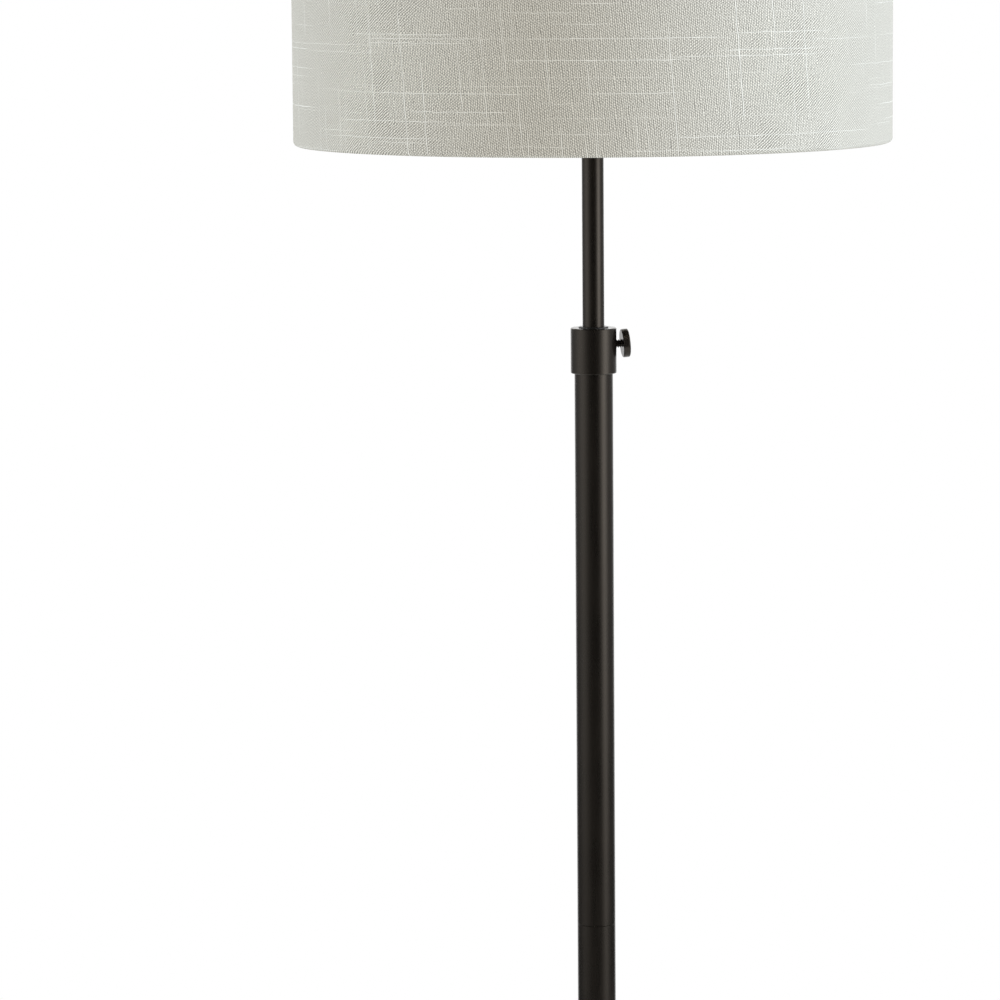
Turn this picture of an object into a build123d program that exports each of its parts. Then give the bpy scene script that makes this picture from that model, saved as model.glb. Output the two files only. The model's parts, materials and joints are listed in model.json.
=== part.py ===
from build123d import *
import os
from math import atan2, cos, degrees, hypot, radians, sin, sqrt, tan

# Height-adjustable floor lamp with a straight drum shade, in millimetres.
# +Z is up and the origin is on the floor under the pole.
# +X points out along the clamp screw, and +Y to the side where the cord would enter.

# Fits
fit_gap = 0.05  # all round, between pieces that are pressed, screwed or glued together
turn_gap = 0.06  # radial, between pieces that turn in one another
slide_gap = 0.10  # radial, between pieces that slide in one another
loose_gap = 0.30  # between a loose ferrule or washer and what it goes round

# Base
base_diameter = 280.0
base_wall = 1.2
base_edge_height = 21.0
base_edge_radius = 6.0
base_dome_rise = 11.0
base_seat_diameter = 60.0
base_rim_lift = 1.0
pad_thickness = 3.0
pad_side_gap = 1.0
weight_thickness = 12.0
weight_side_gap = 10.0
weight_boss_diameter = 54.0
weight_chamfer = 2.0
nut_recess_diameter = 42.0
nut_recess_depth = 11.0
base_washer_diameter = 36.0
base_washer_thickness = 1.6
base_nut_flats = 16.0
base_nut_height = 6.0
base_nipple_tail = 1.0

# Cord inlet in the base
inlet_lift = 0.4
inlet_bore_diameter = 6.5
inlet_body_diameter = 9.0
inlet_flange_diameter = 12.0
inlet_flange_thickness = 1.6
inlet_flange_chamfer = 0.5
inlet_inner_length = 5.0
inlet_barb = 0.6
inlet_barb_start = 0.4
inlet_barb_length = 1.6
cord_channel_width = 12.0
cord_channel_height = 9.0

# Hollow threaded pipe that runs through base and socket
pipe_diameter = 9.9
pipe_bore = 6.5

# Pole
pole_diameter = 28.0
pole_wall = 1.2
pole_edge_chamfer = 0.3
lower_section_length = 356.0
middle_section_length = 356.0
upper_section_shown = 408.0
pole_foot_height = 18.0
pole_foot_grip = 14.0
neck_ring_diameter = 46.0
neck_ring_height = 11.0
neck_ring_lip = 2.4
neck_ring_cove = 1.6
coupling_length = 16.0
coupling_stud_diameter = 16.0
coupling_stud_length = 12.0
coupling_stud_chamfer = 1.0
coupling_bore = 10.0

# Locking collar and its clamp screw
collar_diameter = 33.3
collar_height = 33.0
collar_seat_depth = 16.0
collar_chamfer = 0.5
collar_bush_wall = 1.6
collar_bush_clear = 1.8
collar_bush_flange_diameter = 21.6
collar_bush_flange_height = 0.9
collar_bush_chamfer = 0.3
clamp_drop = 11.8
clamp_slope = 4.5
clamp_screw_diameter = 6.0
clamp_knob_gap = 4.1
clamp_knob_diameter = 20.8
clamp_knob_thickness = 5.6
clamp_knob_dome = 0.6
clamp_knob_edge_radius = 0.9
clamp_knob_socket_depth = 4.0
clamp_pad_diameter = 4.8
clamp_pad_length = 3.0
clamp_point_diameter = 2.4
clamp_point_length = 1.5

# Mast that slides in the pole
mast_diameter = 15.88
mast_wall = 1.0
mast_length = 430.0
mast_shown = 134.0
guide_length = 30.0
guide_chamfer = 1.0
stop_ring_wall = 1.8
stop_ring_height = 4.0
grommet_flange_overhang = 2.0
grommet_flange_thickness = 2.0
grommet_length = 8.0
grommet_bore = 9.0
mast_cap_diameter = 20.0
mast_cap_flange = 5.0
mast_cap_spigot = 14.0
mast_cap_chamfer = 1.2

# Harp and the saddle that carries it
saddle_above_rim = 29.0
saddle_thickness = 1.6
saddle_width = 12.0
saddle_span = 64.0
saddle_bend_radius = 1.4
saddle_shoulder_height = 6.0
saddle_post_width = 4.0
saddle_post_length = 16.0
saddle_nut_flats = 15.0
saddle_nut_height = 4.0
harp_wire_diameter = 4.0
harp_height = 203.0
harp_half_width = 56.0
harp_leg_straight = 44.0
harp_waist_height = 92.0
harp_shoulder_height = 142.0
harp_top_half = 25.0
harp_bend_radius = 44.0
harp_top_bend_radius = 30.0
sleeve_wall = 1.0
sleeve_length = 14.0
stud_plate_length = 20.0
stud_plate_width = 9.0
stud_plate_thickness = 1.5
stud_plate_corner = 2.2
stud_diameter = 6.2
stud_height = 16.0
stud_chamfer = 0.8

# Lamp socket with a turn key
socket_cap_diameter = 36.0
socket_cap_height = 18.0
socket_cap_hub_diameter = 16.0
socket_cap_hub_height = 3.0
socket_cap_straight = 8.0
socket_cap_bulge = 3.0
socket_cap_wall = 0.8
socket_shell_wall = 0.6
socket_shell_height = 45.0
socket_liner_wall = 0.7
socket_body_height = 22.0
screw_shell_bore = 27.2
screw_shell_wall = 0.6
screw_shell_height = 21.0
contact_diameter = 8.0
contact_thickness = 1.5
key_height = 25.0
key_shaft_diameter = 4.4
key_shaft_depth = 6.0
key_stand_off = 4.0
key_grip_length = 18.0
key_grip_width = 8.0
key_grip_thickness = 9.0
key_grip_taper = 6.0
key_grip_fillet = 1.2

# Bulb
bulb_cap_diameter = 26.2
bulb_cap_height = 23.0
bulb_tip_diameter = 9.0
bulb_tip_height = 2.0
bulb_cone_height = 4.0
bulb_diameter = 60.0
bulb_flare_radius = 45.0
bulb_neck_height = 8.0
bulb_glass_wall = 1.0

# Drum shade
shade_diameter = 431.8
shade_height = 254.0
shade_fabric_thickness = 0.8
shade_liner_thickness = 0.7
shade_wire_diameter = 3.2
shade_hem_length = 9.0
shade_layer_gap = 0.2
spider_washer_diameter = 30.0
spider_washer_thickness = 2.0
spider_arm_count = 3
spider_first_angle = 90.0
spider_arm_root = 13.0
spider_arm_slope_run = 30.0
spider_arm_bend_radius = 24.0
spider_slot_side_gap = 0.8

# Finial
finial_foot_diameter = 15.0
finial_foot_height = 3.0
finial_foot_fillet = 0.8
finial_neck_diameter = 9.0
finial_neck_height = 5.0
finial_ball_diameter = 17.0

# Places worked out from the sizes above
base_radius = base_diameter / 2
base_top = base_edge_height + base_dome_rise
inlet_height = pad_thickness + inlet_lift + inlet_barb + inlet_body_diameter / 2
pole_radius = pole_diameter / 2
pole_bore = pole_radius - pole_wall
pipe_radius = pipe_diameter / 2
mast_radius = mast_diameter / 2
mast_bore = mast_radius - mast_wall
collar_radius = collar_diameter / 2
seam_lower = base_top + lower_section_length
seam_upper = seam_lower + middle_section_length
collar_bottom = seam_upper + upper_section_shown
collar_top = collar_bottom + collar_height
rim = collar_top + mast_shown
saddle_seat = rim + saddle_above_rim
saddle_top = saddle_seat + saddle_thickness
mast_top = saddle_seat - mast_cap_flange
mast_bottom = mast_top - mast_length
socket_bottom = saddle_top + saddle_nut_height
pieces = []


def finish(part, name):
    """Labels a finished piece and keeps it for writing."""
    part.label = name
    pieces.append(part)


def tube(name, outer, inner, bottom, top, edge=0.0):
    """A round tube about the Z axis, with its outer end edges broken by edge."""
    with BuildPart() as piece:
        with BuildSketch(Plane.XY.offset(bottom)):
            Circle(outer)
            Circle(inner, mode=Mode.SUBTRACT)
        extrude(amount=top - bottom)
        if edge:
            rims = piece.edges().filter_by(GeomType.CIRCLE)
            chamfer([e for e in rims if e.radius > (outer + inner) / 2], edge)
    finish(piece.part, name)


def hex_nut(name, flats, bore, bottom, height):
    """A plain hexagon nut about the Z axis."""
    with BuildPart() as piece:
        with BuildSketch(Plane.XY.offset(bottom)):
            RegularPolygon(flats / 2, 6, major_radius=False)
            Circle(bore, mode=Mode.SUBTRACT)
        extrude(amount=height)
    finish(piece.part, name)


# Base: a felt pad, a spun cover and the cast weight inside it
inner_radius = base_radius - base_wall
tube("base_pad", inner_radius - pad_side_gap, nut_recess_diameter / 2, 0, pad_thickness)

with BuildPart() as base_cover:
    with BuildSketch(Plane.XZ) as cover_profile:
        with BuildLine():
            Polyline(
                (base_seat_diameter / 2, base_top),
                (0, base_top),
                (0, base_rim_lift),
                (base_radius, base_rim_lift),
                (base_radius, base_edge_height),
            )
            TangentArc(
                (base_seat_diameter / 2, base_top),
                (base_radius, base_edge_height),
                tangent=(1, 0),
            )
        make_face()
        fillet(cover_profile.vertices().group_by(Axis.X)[-1].sort_by(Axis.Y)[-1], base_edge_radius)
    revolve(axis=Axis.Z)
    offset(amount=-base_wall, openings=base_cover.faces().sort_by(Axis.Z)[0])
    with BuildSketch(Plane.XY.offset(base_top)):
        Circle(pipe_radius + fit_gap)
    extrude(amount=-2 * base_wall, mode=Mode.SUBTRACT)
    with BuildSketch(Plane.XZ.offset(-base_radius)):
        with Locations((0, inlet_height)):
            Circle(inlet_body_diameter / 2 + fit_gap)
    extrude(amount=2 * base_wall, mode=Mode.SUBTRACT)
finish(base_cover.part, "base_cover")

weight_bottom = pad_thickness
weight_top = weight_bottom + weight_thickness
recess_top = weight_bottom + nut_recess_depth
with BuildPart() as base_weight:
    with BuildSketch(Plane.XY.offset(weight_bottom)):
        Circle(inner_radius - weight_side_gap)
    extrude(amount=weight_thickness)
    chamfer(base_weight.edges().group_by(Axis.Z)[-1], weight_chamfer)
    with BuildSketch(Plane.XY.offset(weight_bottom)):
        Circle(weight_boss_diameter / 2)
    extrude(amount=base_top - base_wall - weight_bottom)
    with BuildSketch(Plane.XY.offset(weight_bottom)):
        Circle(nut_recess_diameter / 2)
    extrude(amount=nut_recess_depth, mode=Mode.SUBTRACT)
    with BuildSketch(Plane.XY.offset(recess_top)):
        Circle(pipe_radius + fit_gap)
    extrude(amount=base_top, mode=Mode.SUBTRACT)
    with BuildSketch(Plane.XY.offset(weight_bottom)):
        with Locations((0, base_radius / 2)):
            Rectangle(cord_channel_width, base_radius)
    extrude(amount=cord_channel_height, mode=Mode.SUBTRACT)
finish(base_weight.part, "base_weight")

washer_bottom = recess_top - base_washer_thickness
nut_bottom = washer_bottom - base_nut_height
tube("base_washer", base_washer_diameter / 2, pipe_radius + fit_gap, washer_bottom, recess_top)
hex_nut("base_nut", base_nut_flats, pipe_radius + fit_gap, nut_bottom, base_nut_height)
tube("base_nipple", pipe_radius, pipe_bore / 2, nut_bottom - base_nipple_tail, base_top + pole_foot_grip)

# Cord bushing: a flange outside the cover, a body through it and a snap barb inside
with BuildPart() as cord_bushing:
    with BuildSketch(Plane.XZ.offset(-base_radius)):
        with Locations((0, inlet_height)):
            Circle(inlet_body_diameter / 2)
    extrude(amount=base_wall + inlet_inner_length)
    with BuildSketch(Plane.XZ.offset(-base_radius - inlet_flange_thickness)):
        with Locations((0, inlet_height)):
            Circle(inlet_flange_diameter / 2)
    extrude(amount=inlet_flange_thickness)
    chamfer(cord_bushing.edges().group_by(Axis.Y)[-1], inlet_flange_chamfer)
    with BuildSketch(Plane.XZ.offset(-base_radius + base_wall + inlet_barb_start)):
        with Locations((0, inlet_height)):
            Circle(inlet_body_diameter / 2 + inlet_barb)
    extrude(amount=inlet_barb_length)
    with BuildSketch(Plane.XZ.offset(-base_radius - inlet_flange_thickness)):
        with Locations((0, inlet_height)):
            Circle(inlet_bore_diameter / 2)
    extrude(amount=base_wall + inlet_inner_length + inlet_flange_thickness, mode=Mode.SUBTRACT)
finish(cord_bushing.part, "cord_bushing")

# Neck ring: a turned skirt that hides the foot of the pole
neck_bore = pole_radius + fit_gap
with BuildPart() as neck_ring:
    with BuildSketch(Plane.XZ):
        with BuildLine():
            Polyline(
                (neck_bore + neck_ring_lip, base_top + neck_ring_height),
                (neck_bore, base_top + neck_ring_height),
                (neck_bore, base_top),
                (neck_ring_diameter / 2, base_top),
                (neck_ring_diameter / 2, base_top + neck_ring_lip),
            )
            SagittaArc(
                (neck_ring_diameter / 2, base_top + neck_ring_lip),
                (neck_bore + neck_ring_lip, base_top + neck_ring_height),
                neck_ring_cove,
            )
        make_face()
    revolve(axis=Axis.Z)
finish(neck_ring.part, "neck_ring")

# Pole: three tubes that screw together, the upper one ending inside the collar
pole_end = collar_bottom + collar_seat_depth
tube("pole_section_lower", pole_radius, pole_bore, base_top, seam_lower, pole_edge_chamfer)
tube("pole_section_middle", pole_radius, pole_bore, seam_lower, seam_upper, pole_edge_chamfer)
tube("pole_section_upper", pole_radius, pole_bore, seam_upper, pole_end, pole_edge_chamfer)
insert_radius = pole_bore - fit_gap
tube("pole_foot", insert_radius, pipe_radius + fit_gap, base_top, base_top + pole_foot_height)

for seam, place in ((seam_lower, "lower"), (seam_upper, "upper")):
    stud_radius = coupling_stud_diameter / 2
    tube(f"{place}_coupling_socket", insert_radius, stud_radius + fit_gap, seam - coupling_length, seam)
    with BuildPart() as coupling_stud:
        with BuildSketch(Plane.XY.offset(seam)):
            Circle(insert_radius)
        extrude(amount=coupling_length)
        with BuildSketch(Plane.XY.offset(seam)):
            Circle(stud_radius)
        extrude(amount=-coupling_stud_length)
        chamfer(coupling_stud.edges().group_by(Axis.Z)[0], coupling_stud_chamfer)
        with BuildSketch(Plane.XY.offset(seam - coupling_stud_length)):
            Circle(coupling_bore / 2)
        extrude(amount=coupling_stud_length + coupling_length, mode=Mode.SUBTRACT)
    finish(coupling_stud.part, f"{place}_coupling_stud")

# Locking collar: seats over the pole, holds a bush in its mouth and is tapped across for the clamp screw
clamp_height = collar_top - clamp_drop
slope = radians(clamp_slope)
knob_face = collar_radius + clamp_knob_gap
clamp_root = (0, 0, clamp_height - knob_face * tan(slope))
clamp_outward = (cos(slope), 0, sin(slope))
clamp_plane = Plane(clamp_root, x_dir=(0, 1, 0), z_dir=clamp_outward)
bush_bore = mast_radius + slide_gap
bush_radius = bush_bore + collar_bush_wall
bush_length = clamp_drop - clamp_screw_diameter / 2 - collar_bush_clear
with BuildPart() as lock_collar:
    with BuildSketch(Plane.XY.offset(collar_bottom)):
        Circle(collar_radius)
    extrude(amount=collar_height)
    chamfer(lock_collar.edges().filter_by(GeomType.CIRCLE), collar_chamfer)
    with BuildSketch(Plane.XY.offset(collar_bottom)):
        Circle(pole_radius + fit_gap)
    extrude(amount=collar_seat_depth, mode=Mode.SUBTRACT)
    with BuildSketch(Plane.XY.offset(collar_bottom)):
        Circle(mast_radius + loose_gap)
    extrude(amount=collar_height, mode=Mode.SUBTRACT)
    with BuildSketch(Plane.XY.offset(collar_top)):
        Circle(bush_radius + fit_gap)
    extrude(amount=-bush_length, mode=Mode.SUBTRACT)
    with BuildSketch(clamp_plane):
        Circle(clamp_screw_diameter / 2 + fit_gap)
    extrude(amount=collar_diameter, mode=Mode.SUBTRACT)
finish(lock_collar.part, "lock_collar")

with BuildPart() as collar_bush:
    with BuildSketch(Plane.XY.offset(collar_top)):
        Circle(bush_radius)
    extrude(amount=-bush_length)
    with BuildSketch(Plane.XY.offset(collar_top)):
        Circle(collar_bush_flange_diameter / 2)
    extrude(amount=collar_bush_flange_height)
    chamfer(collar_bush.edges().group_by(Axis.Z)[-1], collar_bush_chamfer)
    with BuildSketch(Plane.XY.offset(collar_top - bush_length)):
        Circle(bush_bore)
    extrude(amount=bush_length + collar_bush_flange_height, mode=Mode.SUBTRACT)
finish(collar_bush.part, "collar_bush")

# Clamp: a nylon pad hollowed to the mast, the screw with its point, and the knob on its end
pad_back = mast_radius + slide_gap + clamp_pad_length
point_radius = clamp_point_diameter / 2
with BuildPart() as clamp_pad:
    with BuildSketch(clamp_plane):
        Circle(clamp_pad_diameter / 2)
    extrude(amount=pad_back)
    with BuildSketch(Plane.XY.offset(clamp_height - clamp_pad_diameter)):
        Circle(mast_radius + slide_gap)
    extrude(amount=2 * clamp_pad_diameter, mode=Mode.SUBTRACT)
    with BuildSketch(clamp_plane.offset(pad_back)):
        Circle(point_radius + turn_gap)
    extrude(amount=-clamp_point_length - turn_gap, mode=Mode.SUBTRACT)
finish(clamp_pad.part, "clamp_pad")

with BuildPart() as clamp_screw:
    with BuildSketch(clamp_plane.offset(pad_back + turn_gap)):
        Circle(clamp_screw_diameter / 2)
    extrude(amount=knob_face + clamp_knob_socket_depth - pad_back - turn_gap)
    with BuildSketch(clamp_plane.offset(pad_back + turn_gap)):
        Circle(point_radius)
    extrude(amount=-clamp_point_length)
finish(clamp_screw.part, "clamp_screw")

knob_radius = clamp_knob_diameter / 2
screw_socket = clamp_screw_diameter / 2 + fit_gap
knob_outer = knob_face + clamp_knob_thickness
with BuildPart() as clamp_knob:
    with BuildSketch(Plane(clamp_root, x_dir=clamp_outward, z_dir=(0, -1, 0))) as knob_profile:
        with BuildLine():
            Polyline(
                (knob_outer, 0),
                (knob_face + clamp_knob_socket_depth, 0),
                (knob_face + clamp_knob_socket_depth, screw_socket),
                (knob_face, screw_socket),
                (knob_face, knob_radius),
                (knob_outer - clamp_knob_dome, knob_radius),
            )
            TangentArc(
                (knob_outer, 0),
                (knob_outer - clamp_knob_dome, knob_radius),
                tangent=(0, 1),
            )
        make_face()
        fillet(knob_profile.vertices().group_by(Axis.Y)[-1], clamp_knob_edge_radius)
    revolve(axis=Axis(clamp_root, clamp_outward))
finish(clamp_knob.part, "clamp_knob")

# Mast: the tube that slides, its end fittings and the nylon bush that guides its foot
guide_bottom = mast_bottom + turn_gap
guide_top = guide_bottom + guide_length
stop_bottom = guide_top + turn_gap
tube("mast_tube", mast_radius, mast_bore, mast_bottom, mast_top)
tube(
    "guide_bush",
    pole_bore - slide_gap,
    mast_radius + turn_gap,
    guide_bottom,
    guide_top,
    guide_chamfer,
)
tube(
    "stop_ring",
    mast_radius + stop_ring_wall,
    mast_radius + fit_gap,
    stop_bottom,
    stop_bottom + stop_ring_height,
)
with BuildPart() as cord_grommet:
    with BuildSketch(Plane.XY.offset(mast_bottom)):
        Circle(mast_radius + grommet_flange_overhang)
    extrude(amount=-grommet_flange_thickness)
    with BuildSketch(Plane.XY.offset(mast_bottom)):
        Circle(mast_bore - fit_gap)
    extrude(amount=grommet_length)
    with BuildSketch(Plane.XY.offset(mast_bottom - grommet_flange_thickness)):
        Circle(grommet_bore / 2)
    extrude(amount=grommet_flange_thickness + grommet_length, mode=Mode.SUBTRACT)
finish(cord_grommet.part, "cord_grommet")

with BuildPart() as mast_cap:
    with BuildSketch(Plane.XY.offset(mast_top)):
        Circle(mast_cap_diameter / 2)
    extrude(amount=mast_cap_flange)
    chamfer(mast_cap.edges().group_by(Axis.Z)[0], mast_cap_chamfer)
    with BuildSketch(Plane.XY.offset(mast_top)):
        Circle(mast_bore - fit_gap)
    extrude(amount=-mast_cap_spigot)
    with BuildSketch(Plane.XY.offset(mast_top - mast_cap_spigot)):
        Circle(pipe_radius + fit_gap)
    extrude(amount=mast_cap_spigot + mast_cap_flange, mode=Mode.SUBTRACT)
finish(mast_cap.part, "mast_cap")

# Saddle: a strip bent up at both ends, each end narrowed to a post for the harp
half_span = saddle_span / 2
post_top = saddle_seat + saddle_shoulder_height + saddle_post_length
with BuildPart() as harp_saddle:
    with BuildSketch(Plane.XZ):
        with Locations((0, (saddle_seat + post_top) / 2)):
            Rectangle(saddle_span, post_top - saddle_seat)
        with Locations((0, (saddle_top + post_top) / 2)):
            Rectangle(saddle_span - 2 * saddle_thickness, post_top - saddle_top, mode=Mode.SUBTRACT)
    extrude(amount=saddle_width / 2, both=True)
    lower_edges = harp_saddle.edges().filter_by(Axis.Y).group_by(Axis.Z)[0]
    fillet(lower_edges, saddle_bend_radius)
    side_cut = (saddle_width - saddle_post_width) / 2
    with BuildSketch(Plane.XY.offset(saddle_seat + saddle_shoulder_height)):
        with GridLocations(0, saddle_width - side_cut, 1, 2):
            Rectangle(2 * saddle_span, side_cut)
    extrude(amount=saddle_post_length, mode=Mode.SUBTRACT)
    with BuildSketch(Plane.XY.offset(saddle_seat)):
        Circle(pipe_radius + fit_gap)
    extrude(amount=saddle_thickness, mode=Mode.SUBTRACT)
finish(harp_saddle.part, "harp_saddle")

hex_nut("saddle_nut", saddle_nut_flats, pipe_radius + fit_gap, saddle_top, saddle_nut_height)

# Harp: one bent wire whose legs stand inside the posts, under a stud plate
wire_radius = harp_wire_diameter / 2
leg_x = half_span - saddle_thickness - fit_gap - wire_radius
sleeve_x = (half_span + leg_x - wire_radius) / 2
sleeve_bore = hypot(half_span - sleeve_x, saddle_post_width / 2) + loose_gap
wire_top = saddle_seat + harp_height - stud_plate_thickness - wire_radius
with BuildPart() as harp:
    with BuildLine(Plane.XZ) as harp_line:
        half_route = [
            (leg_x, saddle_top),
            (leg_x, saddle_seat + harp_leg_straight),
            (harp_half_width, saddle_seat + harp_waist_height),
            (harp_half_width, saddle_seat + harp_shoulder_height),
            (harp_top_half, wire_top),
        ]
        mirrored = [(-x, z) for x, z in reversed(half_route)]
        bends = [harp_bend_radius] * 3 + [harp_top_bend_radius]
        FilletPolyline(*half_route, *mirrored, radius=bends + bends[::-1])
    with BuildSketch(Plane.XY.offset(saddle_top)):
        with Locations((leg_x, 0)):
            Circle(wire_radius)
    sweep(path=harp_line.line)
finish(harp.part, "harp")

spider_seat = saddle_seat + harp_height
with BuildPart() as harp_stud:
    with BuildSketch(Plane.XY.offset(wire_top)):
        RectangleRounded(stud_plate_length, stud_plate_width, stud_plate_corner)
    extrude(amount=spider_seat - wire_top)
    with BuildSketch(Plane.YZ.offset(-stud_plate_length / 2)):
        with Locations((0, wire_top)):
            Circle(wire_radius + fit_gap)
    extrude(amount=stud_plate_length, mode=Mode.SUBTRACT)
    with BuildSketch(Plane.XY.offset(spider_seat)):
        Circle(stud_diameter / 2)
    extrude(amount=stud_height)
    chamfer(harp_stud.edges().group_by(Axis.Z)[-1], stud_chamfer)
finish(harp_stud.part, "harp_stud")

# Sleeves: ferrules that slide down over a post and the harp leg beside it, and lock them together
sleeve_bottom = saddle_seat + saddle_shoulder_height
for side, name in ((-1, "harp_sleeve_left"), (1, "harp_sleeve_right")):
    with BuildPart() as harp_sleeve:
        with BuildSketch(Plane.XY.offset(sleeve_bottom)):
            with Locations((side * sleeve_x, 0)):
                Circle(sleeve_bore + sleeve_wall)
                Circle(sleeve_bore, mode=Mode.SUBTRACT)
        extrude(amount=sleeve_length)
    finish(harp_sleeve.part, name)

# Socket: a spun cap, the outer shell and its liner, and the insulating body with its contacts
shell_radius = socket_cap_diameter / 2 - socket_cap_wall - fit_gap
shell_bore = shell_radius - socket_shell_wall
liner_radius = shell_bore - fit_gap
body_radius = liner_radius - socket_liner_wall - fit_gap
cap_top = socket_bottom + socket_cap_height
shell_bottom = cap_top - socket_cap_straight
shell_top = shell_bottom + socket_shell_height
body_top = shell_bottom + socket_body_height
key_axis_height = socket_bottom + key_height
tube("socket_nipple", pipe_radius, pipe_bore / 2, mast_top - mast_cap_spigot, shell_bottom - fit_gap)

with BuildPart() as socket_cap:
    hub_radius = socket_cap_hub_diameter / 2
    with BuildSketch(Plane.XZ):
        with BuildLine():
            Polyline(
                (socket_cap_diameter / 2, shell_bottom),
                (socket_cap_diameter / 2, cap_top),
                (0, cap_top),
                (0, socket_bottom),
                (hub_radius, socket_bottom),
                (hub_radius, socket_bottom + socket_cap_hub_height),
            )
            SagittaArc(
                (hub_radius, socket_bottom + socket_cap_hub_height),
                (socket_cap_diameter / 2, shell_bottom),
                -socket_cap_bulge,
            )
        make_face()
    revolve(axis=Axis.Z)
    offset(amount=-socket_cap_wall, openings=socket_cap.faces().sort_by(Axis.Z)[-1])
    with BuildSketch(Plane.XY.offset(socket_bottom)):
        Circle(pipe_radius + fit_gap)
    extrude(amount=2 * socket_cap_wall, mode=Mode.SUBTRACT)
finish(socket_cap.part, "socket_cap")

key_hole = key_shaft_diameter / 2 + loose_gap
for name, outer, wall, top in (
    ("socket_shell", shell_radius, socket_shell_wall, shell_top),
    ("socket_liner", liner_radius, socket_liner_wall, shell_top - loose_gap),
):
    with BuildPart() as sleeve:
        with BuildSketch(Plane.XY.offset(shell_bottom)):
            Circle(outer)
            Circle(outer - wall, mode=Mode.SUBTRACT)
        extrude(amount=top - shell_bottom)
        with BuildSketch(Plane.XZ):
            with Locations((0, key_axis_height)):
                Circle(key_hole)
        extrude(amount=socket_cap_diameter, mode=Mode.SUBTRACT)
    finish(sleeve.part, name)

shaft_end = body_radius - key_shaft_depth
with BuildPart() as socket_body:
    with BuildSketch(Plane.XY.offset(shell_bottom)):
        Circle(body_radius)
    extrude(amount=socket_body_height)
    with BuildSketch(Plane.XZ.offset(shaft_end - turn_gap)):
        with Locations((0, key_axis_height)):
            Circle(key_shaft_diameter / 2 + turn_gap)
    extrude(amount=body_radius, mode=Mode.SUBTRACT)
finish(socket_body.part, "socket_body")

screw_shell_radius = screw_shell_bore / 2
tube(
    "screw_shell",
    screw_shell_radius + screw_shell_wall,
    screw_shell_radius,
    body_top,
    body_top + screw_shell_height,
)
with BuildPart() as centre_contact:
    with BuildSketch(Plane.XY.offset(body_top)):
        Circle(contact_diameter / 2)
    extrude(amount=contact_thickness)
finish(centre_contact.part, "centre_contact")

# Turn key: a shaft into the socket body with a flat oval grip
grip_start = shell_radius + key_stand_off
with BuildPart() as switch_key:
    with BuildSketch(Plane.XZ.offset(shaft_end)):
        with Locations((0, key_axis_height)):
            Circle(key_shaft_diameter / 2)
    extrude(amount=grip_start - shaft_end)
    with BuildSketch(Plane.XZ.offset(grip_start)):
        with Locations((0, key_axis_height)):
            SlotOverall(key_grip_length, key_grip_width)
    extrude(amount=key_grip_thickness, taper=key_grip_taper)
    fillet(switch_key.edges().group_by(Axis.Y)[0], key_grip_fillet)
finish(switch_key.part, "switch_key")

# Bulb: a screw cap and a pear-shaped envelope, whose flare is tangent to neck and ball
bulb_cap_bottom = body_top + contact_thickness
bulb_cap_top = bulb_cap_bottom + bulb_cap_height
bulb_cap_radius = bulb_cap_diameter / 2
with BuildPart() as bulb_cap:
    with BuildSketch(Plane.XZ):
        with BuildLine():
            Polyline(
                (0, bulb_cap_bottom),
                (bulb_tip_diameter / 2, bulb_cap_bottom),
                (bulb_tip_diameter / 2, bulb_cap_bottom + bulb_tip_height),
                (bulb_cap_radius, bulb_cap_bottom + bulb_tip_height + bulb_cone_height),
                (bulb_cap_radius, bulb_cap_top),
                (0, bulb_cap_top),
                close=True,
            )
        make_face()
    revolve(axis=Axis.Z)
finish(bulb_cap.part, "bulb_cap")

ball_radius = bulb_diameter / 2
flare_x = bulb_cap_radius + bulb_flare_radius
flare_height = bulb_cap_top + bulb_neck_height
ball_height = flare_height + sqrt((ball_radius + bulb_flare_radius) ** 2 - flare_x**2)
flare_angle = degrees(atan2(ball_height - flare_height, flare_x))

with BuildPart() as bulb_glass:
    for inset, how in ((0, Mode.ADD), (bulb_glass_wall, Mode.SUBTRACT)):
        neck = bulb_cap_radius - inset
        ball = ball_radius - inset
        with BuildSketch(Plane.XZ):
            with BuildLine():
                Polyline((0, ball_height + ball), (0, bulb_cap_top), (neck, bulb_cap_top), (neck, flare_height))
                CenterArc((flare_x, flare_height), bulb_flare_radius + inset, 180, -flare_angle)
                CenterArc((0, ball_height), ball, -flare_angle, 90 + flare_angle)
            make_face()
        revolve(axis=Axis.Z, mode=how)
finish(bulb_glass.part, "bulb_glass")

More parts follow.
